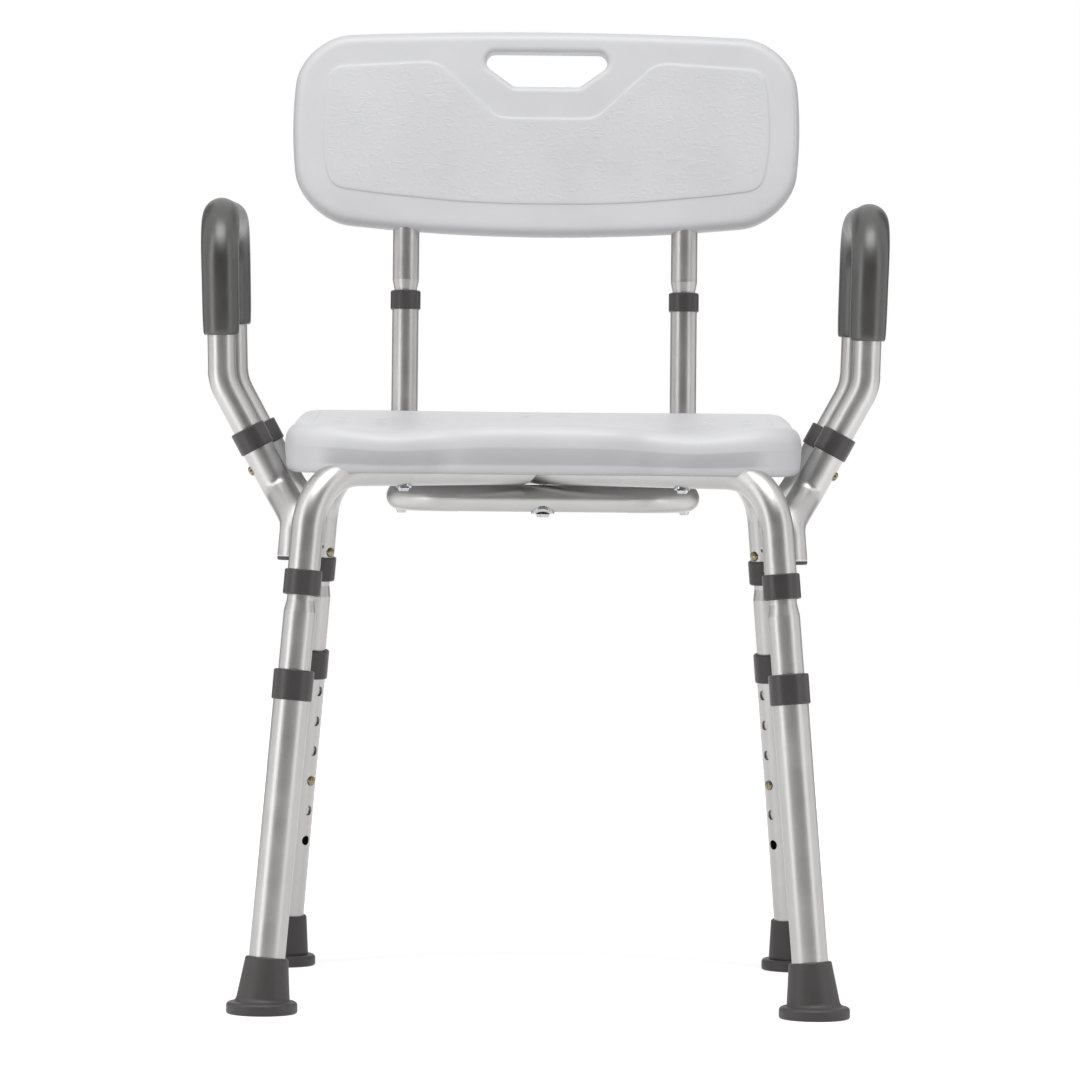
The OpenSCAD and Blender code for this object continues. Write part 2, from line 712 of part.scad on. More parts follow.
// Outline of the backrest, bulged at its sides and its top, and most at its lower edge
back_bulge = [9, 6, 14];
back_base_h = back_h - back_bulge[1] - back_bulge[2];
function back_outline(inset) = [
    for (q = spread(round_rect(back_w - 2 * back_bulge[0] - 2 * inset, back_base_h - 2 * inset,
                               back_corner - inset, 8), 9))
        bulge(q, back_w, back_base_h, back_bulge[0], back_bulge[q[1] > 0 ? 1 : 2])
            + [0, back_base_h / 2 + back_bulge[2]]];
back_rings = [[12, 0], [4, 0.07], [1, 0.22], [0, 0.5], [1, 0.78], [4, 0.93], [12, 1]];

module back_form(t) {
    rings = [for (g = back_rings) [for (q = back_outline(g[0] + t))
        [q[0], back_t / 2 - t - (back_t - 2 * t) * g[1], q[1]]]];
    n = len(rings[0]);
    last = (len(rings) - 1) * n;
    polyhedron([for (g = rings) each g], concat(
        [[for (k = [0:n - 1]) k]],
        [for (g = [0:len(rings) - 2]) for (k = [0:n - 1]) each [
            [g * n + k, (g + 1) * n + k, (g + 1) * n + (k + 1) % n],
            [g * n + k, (g + 1) * n + (k + 1) % n, g * n + (k + 1) % n]]],
        [[for (k = [0:n - 1]) last + n - 1 - k]]));
}

// Hand slot, grown by a wall thickness
slot_top = back_h - 18;
slot_low = back_h - 47;
slot_half_w = [51, 33];         // at its top and at its bottom
module hand_slot(grow) {
    r = 8;
    rotate([90, 0, 0]) linear_extrude(2 * back_t, center = true) hull() {
        for (s = [-1, 1]) {
            translate([s * (slot_half_w[0] - r), slot_top - r]) circle(r = r + grow);
            translate([s * (slot_half_w[1] - r), slot_low + r]) circle(r = r + grow);
        }
    }
}

module backrest() {
    color(plastic) on_back() difference() {
        back_form(0);
        difference() {
            back_form(shell);
            hand_slot(shell);
            for (s = [-1, 1]) translate([s * post_w / 2, 0, 0])
                cylinder(d = light_d + 0.4 + 2 * shell, h = back_h);
        }
        hand_slot(0);
        for (s = [-1, 1]) translate([s * post_w / 2, 0, -eps]) {
            cylinder(d = light_d + 0.4, h = post_top + 1);
            for (z = back_screw_up) translate([0, 0, z]) rotate([-90, 0, 0])
                cylinder(d = 4.4, h = back_t);
        }
    }
}

module back_screws() {
    on_back() for (s = [-1, 1], z = back_screw_up)
        translate([s * post_w / 2, back_t / 2, z]) rotate([90, 0, 0]) pan_screw(4, 8, 8.4);
}

// ---- Assembly ----

seat();
seat_screws();
saddle_washers();
seat_inserts();
frame_tube(0, true);  // frame_tube_upper
frame_tube(1, false);  // frame_tube_lower
back_support_tube();
stub_collars();
arm_collars();
socket_plugs();
back_collars();
backrest();
back_screws();
back_springs();
for (i = [0:3]) {
    arm_socket(i);
    leg_inner(i);
    leg_springs(i);
    stub_button(i);
    height_button(i);
    leg_outer(i);
    leg_collar(i);
    foot(i);
    arm_button(i);
}
for (k = [0:1]) {
    arm_tube(2 * k - 1);
    arm_grip(2 * k - 1);
    arm_springs(2 * k - 1);
    back_post(2 * k - 1);
    back_button(2 * k - 1);
}
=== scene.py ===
# Shower chair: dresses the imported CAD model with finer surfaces, materials, lights and a camera.
# Metres, Z up, the front of the chair faces -Y. The origin is on the floor under the seat.

import json
import math
import bmesh
import bpy
import numpy as np
from mathutils import Matrix


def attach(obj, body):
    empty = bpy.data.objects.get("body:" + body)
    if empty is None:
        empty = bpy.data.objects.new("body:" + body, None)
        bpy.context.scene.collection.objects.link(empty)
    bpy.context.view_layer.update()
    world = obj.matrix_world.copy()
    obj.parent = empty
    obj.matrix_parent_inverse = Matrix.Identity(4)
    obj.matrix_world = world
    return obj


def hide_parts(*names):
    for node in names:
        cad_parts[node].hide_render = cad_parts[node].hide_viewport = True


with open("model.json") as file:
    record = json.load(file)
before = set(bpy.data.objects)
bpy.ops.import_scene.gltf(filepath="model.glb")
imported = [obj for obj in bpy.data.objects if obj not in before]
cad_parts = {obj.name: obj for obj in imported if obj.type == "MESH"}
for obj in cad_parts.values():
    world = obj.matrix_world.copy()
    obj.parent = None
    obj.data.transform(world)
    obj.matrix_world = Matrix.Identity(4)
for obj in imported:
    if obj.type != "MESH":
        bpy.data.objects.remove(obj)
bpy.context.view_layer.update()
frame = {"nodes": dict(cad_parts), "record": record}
nodes = frame["nodes"]
corners = ["front_left", "front_right", "rear_left", "rear_right"]
sides = ["left", "right"]
mm = 0.001
hair = 0.1 * mm              # smallest gap between pieces


# ---- camera, lamps and floor ----

view = {
    "lens": 204.0,           # mm on a 36 mm sensor: a long lens, so lines stay nearly parallel
    "place": (-0.002, -4.97, 0.523),
    "pitchDown": 1.797,      # degrees
    "roll": 0.55,            # degrees
}
# Soft panels: power in W, the rest in metres
lamps = {
    "keyPanel": {"power": 10.0, "size": (0.6, 2.0), "place": (-1.35, -0.9, 0.9), "aim": (0, 0, 0.6)},
    "fillPanel": {"power": 7.0, "size": (0.6, 2.0), "place": (1.35, -0.9, 0.9), "aim": (0, 0, 0.6)},
    "topPanel": {"power": 92.0, "size": (3.2, 2.0), "place": (0, -2.0, 3.9), "aim": (0, 0, 0.45)},
    # low, behind, for the back; gloss doesn't show it
    "rearPanel": {"power": 24.0, "size": (2.4, 1.6), "place": (0, 2.6, 0.9), "aim": (0, 0, 0.6),
                  "inGloss": False},
}
roomStrength = 0.22          # of the grey room round it all


# Turn that points a lamp from its place at its target
def aimed(position, target):
    forward = np.subtract(target, position)
    yaw = math.atan2(-forward[0], forward[1])
    tilt = math.atan2(forward[2], math.hypot(forward[0], forward[1]))
    return (math.pi / 2 + tilt, 0.0, yaw)


def addCamera():
    data = bpy.data.cameras.new("camera")
    data.lens = view["lens"]
    data.sensor_width = 36
    camera = bpy.data.objects.new("camera", data)
    bpy.context.scene.collection.objects.link(camera)
    camera.location = view["place"]
    camera.rotation_mode = "XYZ"
    pitch = math.radians(90 - view["pitchDown"])
    roll = math.radians(view["roll"])
    turn = Matrix.Rotation(pitch, 4, "X") @ Matrix.Rotation(roll, 4, "Z")
    camera.rotation_euler = turn.to_euler("XYZ")
    bpy.context.scene.camera = camera


def addPanel(name, panel):
    data = bpy.data.lights.new(name, "AREA")
    data.shape = "RECTANGLE"
    data.size, data.size_y = panel["size"]
    data.energy = panel["power"]
    lamp = bpy.data.objects.new(name, data)
    bpy.context.scene.collection.objects.link(lamp)
    lamp.location = panel["place"]
    lamp.rotation_euler = aimed(panel["place"], panel["aim"])
    lamp.visible_camera = False
    lamp.visible_glossy = panel.get("inGloss", True)


addCamera()
for name, panel in lamps.items():
    addPanel(name, panel)
bpy.context.scene.view_settings.view_transform = "Standard"
print("camera and lamps")


# ---- materials ----

# sRGB hex to linear colour
def linear(hexColour):
    rgb = [int(hexColour[i:i + 2], 16) / 255 for i in (1, 3, 5)]
    return [c / 12.92 if c <= 0.04045 else ((c + 0.055) / 1.055) ** 2.4 for c in rgb] + [1.0]


# Adds one node: plain settings by attribute name, inputs by socket name; a socket may take another socket
def addNode(tree, kind, inputs=None, **settings):
    made = tree.nodes.new(kind)
    for key, value in settings.items():
        setattr(made, key, value)
    for key, value in (inputs or {}).items():
        if isinstance(value, bpy.types.NodeSocket):
            tree.links.new(value, made.inputs[key])
        else:
            made.inputs[key].default_value = value
    return made


def startMaterial(name):
    material = bpy.data.materials.new(name)
    material.use_nodes = True
    tree = material.node_tree
    tree.nodes.clear()
    shader = addNode(tree, "ShaderNodeBsdfPrincipled")
    addNode(tree, "ShaderNodeOutputMaterial", {"Surface": shader.outputs[0]})
    place = addNode(tree, "ShaderNodeTexCoord").outputs["Object"]
    return material, tree, shader, place


# Noise whose features are about featureMm across
def grain(tree, place, featureMm, detail=2.0, distortion=0.0):
    return addNode(tree, "ShaderNodeTexNoise", {
        "Vector": place, "Scale": 1000 / featureMm, "Detail": detail, "Distortion": distortion})


# Value taken from one range to another; noise seldom leaves 0.3 to 0.7
def mapped(tree, value, low, high, fromLow=0.3, fromHigh=0.7, kind="LINEAR"):
    return addNode(tree, "ShaderNodeMapRange", {
        "Value": value, "From Min": fromLow, "From Max": fromHigh, "To Min": low, "To Max": high,
    }, interpolation_type=kind).outputs["Result"]


# Colour between first and second as the factor goes from 0 to 1
def blended(tree, factor, first, second):
    made = addNode(tree, "ShaderNodeMix", data_type="RGBA")
    made.inputs[6].default_value = first
    made.inputs[7].default_value = second
    tree.links.new(factor, made.inputs[0])
    return made.outputs[2]


def joined(tree, operation, first, second):
    return addNode(tree, "ShaderNodeMath", {0: first, 1: second}, operation=operation).outputs[0]


def bump(tree, height, distance, strength=1.0, normal=None):
    inputs = {"Height": height, "Distance": distance, "Strength": strength}
    if normal is not None:
        inputs["Normal"] = normal
    return addNode(tree, "ShaderNodeBump", inputs).outputs["Normal"]


# Colour and roughness that wander together between two values, as the noise does
def cloudy(tree, shader, noise, dark, light, roughness):
    value = noise.outputs["Fac"]
    colour = blended(tree, mapped(tree, value, 0, 1), linear(dark), linear(light))
    tree.links.new(colour, shader.inputs["Base Color"])
    tree.links.new(mapped(tree, value, *roughness), shader.inputs["Roughness"])


# Satin anodised aluminium tube: drawn, etched matt and dyed clear, so highlights run soft along it
def anodisedAluminium():
    finish = {"light": "#c2c1c0", "dark": "#bab9b8", "roughness": (0.36, 0.42), "streakMm": 30,
              "etchMm": 0.9, "etchDepthMm": 0.02}
    material, tree, shader, place = startMaterial("satinAnodisedAluminium")
    streak = grain(tree, place, finish["streakMm"], 3.0, 0.4)
    cloudy(tree, shader, streak, finish["dark"], finish["light"], finish["roughness"])
    shader.inputs["Metallic"].default_value = 1.0
    etch = grain(tree, place, finish["etchMm"], 3.0)
    normal = bump(tree, etch.outputs["Fac"], finish["etchDepthMm"] * mm, 0.6)
    tree.links.new(normal, shader.inputs["Normal"])
    return material


# Any plain metal of small parts, plated steel or turned brass: bright, with marks about featureMm across
def platedMetal(name, light, dark, roughness, featureMm, markDepthMm=0.02):
    material, tree, shader, place = startMaterial(name)
    cloud = grain(tree, place, featureMm, 3.0)
    cloudy(tree, shader, cloud, dark, light, (roughness - 0.05, roughness + 0.08))
    shader.inputs["Metallic"].default_value = 1.0
    tree.links.new(bump(tree, cloud.outputs["Fac"], markDepthMm * mm, 0.5), shader.inputs["Normal"])
    return material


# Moulded or extruded plastic and rubber: a fine spark-eroded or foamed skin, a little cloudy
def mouldedSkin(name, light, dark, roughness, grainMm, depthMm, ior=1.5, cloudMm=24):
    material, tree, shader, place = startMaterial(name)
    cloud = grain(tree, place, cloudMm, 2.0)
    cloudy(tree, shader, cloud, dark, light, (roughness - 0.04, roughness + 0.05))
    shader.inputs["IOR"].default_value = ior
    skin = grain(tree, place, grainMm, 2.0)
    tree.links.new(bump(tree, skin.outputs["Fac"], depthMm * mm, 0.7), shader.inputs["Normal"])
    return material


# Blow-moulded high-density polyethylene: waxy satin, with a crinkled leather grain on raised panels.
# The attribute panelDistance is how far inside a panel's edge a point lies, in metres.
def blowMouldedPolyethylene():
    finish = {
        "light": "#dfdfe1", "dark": "#dbdbdd", "roughness": (0.4, 0.5), "cloudMm": 60,
        "skinMm": 1.2, "skinDepthMm": 0.012, "edgeMm": 0.8, "panelRiseMm": 0.5,
        "wrinkleMm": 4.2, "wrinkleDepthMm": 0.16, "wrinkleStretch": (0.4, 0.6, 1.0), "ridge": 0.13,
        "warpMm": 14, "warpReach": 4.5 * mm, "breakMm": 8.0, "breaks": (0.42, 0.6),
        "starts": (1.5 * mm, 5 * mm),        # the grain grows over this distance inside the edge
    }
    material, tree, shader, place = startMaterial("blowMouldedPolyethylene")
    shader.inputs["IOR"].default_value = 1.54
    cloud = grain(tree, place, finish["cloudMm"], 2.0)
    cloudy(tree, shader, cloud, finish["dark"], finish["light"], finish["roughness"])
    inside = addNode(tree, "ShaderNodeAttribute", attribute_name="panelDistance").outputs["Fac"]
    edge = mapped(tree, inside, 0, 1, -finish["edgeMm"] * mm, finish["edgeMm"] * mm, "SMOOTHSTEP")
    within = mapped(tree, inside, 0, 1, *finish["starts"], "SMOOTHSTEP")
    # wrinkles: short ridges that lie mostly level, where a warped noise crosses its middle value
    warp = grain(tree, place, finish["warpMm"], 2.0)
    moved = addNode(tree, "ShaderNodeVectorMath", {0: warp.outputs["Color"], 1: [finish["warpReach"]] * 3},
                    operation="MULTIPLY").outputs[0]
    there = addNode(tree, "ShaderNodeVectorMath", {0: place, 1: moved}, operation="ADD").outputs[0]
    stretched = addNode(tree, "ShaderNodeMapping", {
        "Vector": there, "Scale": finish["wrinkleStretch"]}).outputs[0]
    fold = grain(tree, stretched, finish["wrinkleMm"], 1.5, 0.5)
    centred = joined(tree, "SUBTRACT", fold.outputs["Fac"], 0.5)
    ridge = mapped(tree, joined(tree, "ABSOLUTE", centred, 0.0), 1, 0, 0.0, finish["ridge"], "SMOOTHSTEP")
    gaps = grain(tree, place, finish["breakMm"], 2.0)
    breaks = mapped(tree, gaps.outputs["Fac"], 0, 1, *finish["breaks"], "SMOOTHSTEP")
    strokes = joined(tree, "MULTIPLY", joined(tree, "MULTIPLY", ridge, breaks), within)
    skin = grain(tree, place, finish["skinMm"], 2.0)
    normal = bump(tree, skin.outputs["Fac"], finish["skinDepthMm"] * mm, 0.5)
    normal = bump(tree, edge, finish["panelRiseMm"] * mm, 1.0, normal)
    normal = bump(tree, strokes, finish["wrinkleDepthMm"] * mm, 1.0, normal)
    tree.links.new(normal, shader.inputs["Normal"])
    return material


aluminium = anodisedAluminium()
polyethylene = blowMouldedPolyethylene()
collarPlastic = mouldedSkin("mouldedPolypropylene", "#484445", "#423e3f", 0.36, 0.9, 0.02)
footRubber = mouldedSkin("mouldedRubber", "#494445", "#433f40", 0.5, 1.3, 0.03, 1.52)
gripFoam = mouldedSkin("closedCellFoam", "#3a3837", "#353332", 0.37, 0.8, 0.02, 1.85)
buttonNickel = platedMetal("nickelPlatedBrass", "#a89c82", "#7d735c", 0.28, 3.0)
zinc = platedMetal("brightZincPlate", "#c9cbcd", "#b3b5b8", 0.24, 3.0)
springSteel = platedMetal("blueSpringSteel", "#8b8b8e", "#77777b", 0.34, 5.0)
brass = platedMetal("turnedBrass", "#b8924f", "#a5813f", 0.3, 2.0)
weldMetal = platedMetal("weldedAluminium", "#bdbcbb", "#a7a6a5", 0.42, 1.5)
print("materials")

materialOfSlot = {
    "seat_plastic": polyethylene, "tube_aluminium": aluminium, "collar_plastic": collarPlastic,
    "foot_rubber": footRubber, "grip_foam": gripFoam, "button_nickel": buttonNickel,
    "spring_steel": springSteel, "zinc": zinc, "brass": brass,
}
for part in frame["record"]["subparts"]:
    owner = nodes[part["node"]]
    owner.data.materials.clear()
    owner.data.materials.append(materialOfSlot[part["material_slot"]])


# ---- surfaces ----

# Mesh from a grid of points, rows x columns x 3. closeRows or closeColumns joins the last to the first;
# capStart or capEnd closes the first or last row with a fan round its middle.
def meshFromGrid(name, grid, closeRows=False, closeColumns=False, capStart=False, capEnd=False):
    rows, columns = grid.shape[:2]
    points = grid.reshape(-1, 3)
    index = np.arange(rows * columns).reshape(rows, columns)
    if closeRows:
        index = np.concatenate([index, index[:1]])
    if closeColumns:
        index = np.concatenate([index, index[:, :1]], axis=1)
    quads = np.stack([index[:-1, :-1], index[:-1, 1:], index[1:, 1:], index[1:, :-1]], axis=-1)
    faces = quads.reshape(-1, 4).tolist()
    for wanted, row, flip in ((capStart, 0, True), (capEnd, -1, False)):
        if wanted:
            middle = len(points)
            points = np.concatenate([points, grid[row].mean(axis=0)[None]])
            ring = index[row]
            fan = np.stack([ring[:-1], ring[1:], np.full(len(ring) - 1, middle)], axis=-1)
            faces += (fan[:, ::-1] if flip else fan).tolist()
    mesh = bpy.data.meshes.new(name)
    mesh.from_pydata(points.tolist(), [], faces)
    mesh.polygons.foreach_set("use_smooth", np.ones(len(mesh.polygons), bool))
    return mesh


# Links a mesh as a piece with its faces outwards, and says its body and the nodes it stands for; slot is not
# used
def addPiece(name, mesh, material, body, slot, *replaced):
    piece = bpy.data.objects.new(name, mesh)
    bpy.context.scene.collection.objects.link(piece)
    mesh.materials.append(material)
    shape = bmesh.new()
    shape.from_mesh(mesh)
    bmesh.ops.recalc_face_normals(shape, faces=shape.faces)
    shape.to_mesh(mesh)
    shape.free()
    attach(piece, body)
    if replaced:
        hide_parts(*replaced)
    return piece


# Closed outline resampled to count points, evenly along its length
def evenly(outline, count):
    loop = np.concatenate([outline, outline[:1]])
    along = np.concatenate([[0], np.cumsum(np.linalg.norm(np.diff(loop, axis=0), axis=1))])
    at = np.linspace(0, along[-1], count, endpoint=False)
    return np.stack([np.interp(at, along, loop[:, k]) for k in range(loop.shape[1])], axis=1)


# Rounded rectangle: each corner an arc of the radius, joined by straight lines
def roundedRectangle(width, depth, radius, count, arcPoints=24):
    arc = np.radians(np.linspace(0, 90, arcPoints))
    points = []
    for quarter in range(4):
        turn = math.pi / 2 * quarter
        cx = (width / 2 - radius) * (1 if quarter in (0, 3) else -1)
        cy = (depth / 2 - radius) * (1 if quarter < 2 else -1)
        points.append(np.stack([cx + radius * np.cos(arc + turn), cy + radius * np.sin(arc + turn)], axis=1))
    return evenly(np.concatenate(points), count)


# Outward normals of a closed outline that runs anticlockwise
def outwards(outline):
    step = np.roll(outline, -1, axis=0) - np.roll(outline, 1, axis=0)
    normal = np.stack([step[:, 1], -step[:, 0]], axis=1)
    return normal / np.linalg.norm(normal, axis=1, keepdims=True)


# Distance inside a closed polygon, negative outside: to the nearest side, signed by how many sides a level
# ray crosses
def insideDistance(points, polygon):
    a = np.array(polygon, float)
    b = np.roll(a, -1, axis=0)
    best = np.full(len(points), np.inf)
    inside = np.zeros(len(points), bool)
    for p, q in zip(a, b):
        v, w = q - p, points - p
        share = np.clip((w @ v) / max(v @ v, 1e-18), 0, 1)
        best = np.minimum(best, np.linalg.norm(w - share[:, None] * v, axis=1))
        crosses = (p[1] > points[:, 1]) != (q[1] > points[:, 1])
        with np.errstate(divide="ignore", invalid="ignore"):
            reach = p[0] + (points[:, 1] - p[1]) * v[0] / v[1]
        inside ^= crosses & (points[:, 0] < reach)
    return np.where(inside, best, -best)


# 0 at low, 1 at high, level at both
def smoothStep(low, high, x):
    t = np.clip((x - low) / (high - low), 0, 1)
    return t * t * (3 - 2 * t)


farOutside = -20 * mm        # panelDistance where there is no panel


def paintDistance(mesh, values):
    distances = mesh.attributes.new("panelDistance", "FLOAT", "POINT")
    distances.data.foreach_set("value", values.astype(np.float32))


# ---- backrest ----

backrest = {
    "width": 427 * mm, "height": 173 * mm, "thickness": 29 * mm, "corner": 40 * mm,
    "bulgeX": 9 * mm, "bulgeTop": 6 * mm, "bulgeLow": 14 * mm, "recline": math.radians(4.5),
    "foot": (0, 187.04 * mm, 616 * mm),      # middle of the lower edge
    "rim": 10.5 * mm, "rimPower": 2.6,       # reach of the edge's round, and how square it is
    "slotTop": 155 * mm, "slotLow": 126 * mm, "slotHalf": (51 * mm, 33 * mm), "slotRound": 8 * mm,
    "lip": 5 * mm, "panelRise": 0.7 * mm, "panelStep": 2 * mm, "panelRound": 12 * mm,
    # corners of the raised panel's right half in mm, from the middle below up its outer side
    "panelMm": [(33, 26.8), (75, 28.5), (140, 34.5), (180, 40), (186, 60), (188, 90), (185.5, 125),
                (181, 141), (92, 146.5), (47, 104.5), (41, 100.5), (33, 99)],
    "columns": 460, "rows": {"lip": 9, "front": 96, "edge": 27, "rear": 36},
}


# Rounded rectangle whose sides swell outwards, each as a parabola
def backOutline(count):
    b = backrest
    w, top, low = b["width"], b["bulgeTop"], b["bulgeLow"]
    h = b["height"] - top - low
    p = roundedRectangle(w - 2 * b["bulgeX"], h, b["corner"], 4 * count)
    x = p[:, 0] + b["bulgeX"] * 2 * p[:, 0] / w * (1 - (2 * p[:, 1] / h) ** 2)
    z = p[:, 1] + np.where(p[:, 1] > 0, top, low) * 2 * p[:, 1] / h * (1 - (2 * p[:, 0] / w) ** 2)
    return evenly(np.stack([x, z + h / 2 + low], axis=1), count)


# Outline at the distance grow round a convex polygon: each point is the corner furthest along its direction
def roundedHull(centres, grow, count=720):
    angle = np.linspace(0, 2 * math.pi, count, endpoint=False)
    direction = np.stack([np.cos(angle), np.sin(angle)], axis=1)
    corner = np.array(centres, float)
    return corner[np.argmax(direction @ corner.T, axis=1)] + direction * grow


# Where rays from the middle cross a closed outline round it
def alongRays(outline, middle, rays, count=1440):
    loop = evenly(outline, count) - middle
    angle = np.arctan2(loop[:, 1], loop[:, 0])
    order = np.argsort(angle)
    reach = np.interp(rays, angle[order], np.linalg.norm(loop, axis=1)[order], period=2 * math.pi)
    return middle + reach[:, None] * np.stack([np.cos(rays), np.sin(rays)], axis=1)


# Polygon with every corner replaced by a curve that starts and ends at the distance reach from it, or at
# half the side's length where that is shorter
def filleted(polygon, reach, steps=9):
    p = np.array(polygon, float)
    before, after = np.roll(p, 1, axis=0) - p, np.roll(p, -1, axis=0) - p
    start = p + before * np.minimum(reach / np.linalg.norm(before, axis=1), 0.5)[:, None]
    end = p + after * np.minimum(reach / np.linalg.norm(after, axis=1), 0.5)[:, None]
    t = np.linspace(0, 1, steps)[None, :, None]
    curve = start[:, None] * (1 - t) ** 2 + p[:, None] * 2 * t * (1 - t) + end[:, None] * t ** 2
    return curve.reshape(-1, 2)


# Quarter or half of a superellipse: powers of the cosine and sine, for edges a little squarer than round
def roundedEdge(angles, power):
    c, s = np.cos(angles), np.sin(angles)
    return np.abs(c) ** (2 / power), np.sign(s) * np.abs(s) ** (2 / power)


# The backrest is one closed loop of rows carried round the hand slot: the slot's wall, its front lip,
# the front face out to the edge, round the edge, the rear face back in, and the rear lip.
def makeBackrest():
    b, count = backrest, backrest["rows"]
    columns, half, lip = b["columns"], b["thickness"] / 2, b["lip"]
    outer = backOutline(columns)
    normal = outwards(outer)
    halfTop, halfLow = (width - b["slotRound"] for width in b["slotHalf"])
    top, low = b["slotTop"] - b["slotRound"], b["slotLow"] + b["slotRound"]
    slotCorners = [(halfTop, top), (-halfTop, top), (-halfLow, low), (halfLow, low)]
    middle = np.array([0, (b["slotTop"] + b["slotLow"]) / 2])
    rays = np.arctan2(outer[:, 1] - middle[1], outer[:, 0] - middle[0])
    rows, depths = [], []

    def slotRow(grow, depth):
        rows.append(alongRays(roundedHull(slotCorners, b["slotRound"] + grow), middle, rays))
        depths.append(np.full(columns, depth))

    for a in np.radians(np.linspace(0, 90, count["lip"])):
        slotRow(lip * (1 - math.cos(a)), -half + lip * (1 - math.sin(a)))
    inner, rim = rows[-1], outer - normal * b["rim"]
    for share in np.linspace(0, 1, count["front"])[1:-1]:
        rows.append(inner + (rim - inner) * share)
        depths.append(np.full(columns, -half))
    reach, rise = roundedEdge(np.radians(np.linspace(-90, 90, count["edge"])), b["rimPower"])
    for c, s in zip(reach, rise):
        rows.append(outer - normal * b["rim"] * (1 - c))
        depths.append(np.full(columns, half * s))
    for share in np.linspace(1, 0, count["rear"])[1:-1]:
        rows.append(inner + (rim - inner) * share)
        depths.append(np.full(columns, half))
    for a in np.radians(np.linspace(90, 0, count["lip"])):
        slotRow(lip * (1 - math.cos(a)), half - lip * (1 - math.sin(a)))
    flat, depth = np.array(rows), np.array(depths)

    # the front's raised panel: its points are moved forwards by a smooth step at its edge
    panel = [(x * mm, z * mm) for x, z in b["panelMm"]]
    panel += [(-x, z) for x, z in reversed(panel)]
    inside = insideDistance(flat.reshape(-1, 2), filleted(panel, b["panelRound"]))
    front = depth.reshape(-1) < -half + hair
    distance = np.where(front, inside, farOutside)
    raised = b["panelRise"] * smoothStep(-b["panelStep"], b["panelStep"], distance)
    x, w, y = flat[..., 0], flat[..., 1], depth - raised.reshape(depth.shape)
    cos, sin = math.cos(b["recline"]), math.sin(b["recline"])
    foot = b["foot"]
    grid = np.stack([foot[0] + x, foot[1] + y * cos + w * sin, foot[2] - y * sin + w * cos], axis=-1)
    mesh = meshFromGrid("backrestShell", grid, closeRows=True, closeColumns=True)
    paintDistance(mesh, distance)
    addPiece("backrestShell", mesh, polyethylene, "back", "seat_plastic", "backrest")


makeBackrest()
print("backrest")


# ---- seat ----

seat = {
    "width": 413 * mm, "depth": 320 * mm, "corner": 48 * mm, "bulge": 3 * mm,
    "low": 423 * mm, "front": 463 * mm,      # heights of the underside and of the front's top edge
    "rise": 7 * mm, "riseSpan": (-40 * mm, 130 * mm),
    "thighDip": 7 * mm, "thighX": 118 * mm, "thighReach": 46 * mm, "thighSpan": (80 * mm, -150 * mm),
    "dish": 4 * mm, "dishY": 20 * mm, "dishReach": (150 * mm, 95 * mm),
    "dip": 8 * mm, "dipX": 0.205, "dipReach": 22 * mm,      # hollows in the front; dipX: share of the width
    # the edge: its parting line and widest height are shares of the seat's height
    "widest": 0.56, "parting": 0.53, "partingRise": 0.12 * mm, "partingWidth": 0.02,
    "underLean": 0.8 * mm, "frontLean": 5 * mm, "leanPower": 1.3,
    "lowRound": 2.5 * mm, "endRound": 6 * mm, "lowRise": 8 * mm, "lowPower": 2.3,
    "topRound": 16 * mm, "topPower": 2.5,
    "panelInset": 21 * mm, "panelDepth": 1.5 * mm,
    "drain": 3.5 * mm, "drainPitch": 32 * mm, "drainX": 0.36, "drainMargin": 4.5 * mm,
    "columns": 500, "rows": {"under": 18, "low": 16, "face": 18, "round": 26, "top": 110},
}


# Rounded rectangle with sides that swell a little, and two shallow hollows pressed into its front
def seatOutline(count):
    s = seat
    w, d = s["width"], s["depth"]
    p = roundedRectangle(w - 2 * s["bulge"], d - 2 * s["bulge"], s["corner"], 4 * count)
    x = p[:, 0] + s["bulge"] * 2 * p[:, 0] / w * (1 - (2 * p[:, 1] / d) ** 2)
    y = p[:, 1] + s["bulge"] * 2 * p[:, 1] / d * (1 - (2 * p[:, 0] / w) ** 2)
    hollow = np.exp(-((np.abs(x) - w * s["dipX"]) / s["dipReach"]) ** 2)
    y = y + s["dip"] * hollow * np.maximum(0, -2 * y / d) ** 3
    return evenly(np.stack([x, y], axis=1), count)


# Height of the top: it rises at the rear, dips under each thigh towards the front and is dished in the middle
def seatTop(x, y):
    s = seat
    rear = s["rise"] * smoothStep(*s["riseSpan"], y)
    beside = np.exp(-((np.abs(x) - s["thighX"]) / s["thighReach"]) ** 2)
    thigh = s["thighDip"] * beside * smoothStep(*s["thighSpan"], y)
    dish = s["dish"] * np.exp(-(x / s["dishReach"][0]) ** 2 - ((y - s["dishY"]) / s["dishReach"][1]) ** 2)
    return s["front"] + rear - thigh - dish


# Drain holes: six under each thigh, then two in front and four behind on the middle line
def drainPlaces():
    pitch = seat["drainPitch"]
    thighs = [(way * seat["width"] * seat["drainX"] + across * pitch, along * pitch)
              for way in (-1, 1) for across in (-0.5, 0.5) for along in (-1, 0, 1)]
    return thighs + [(across * pitch, along * pitch) for along in (-3.4, 2.6, 3.6) for across in (-0.5, 0.5)]


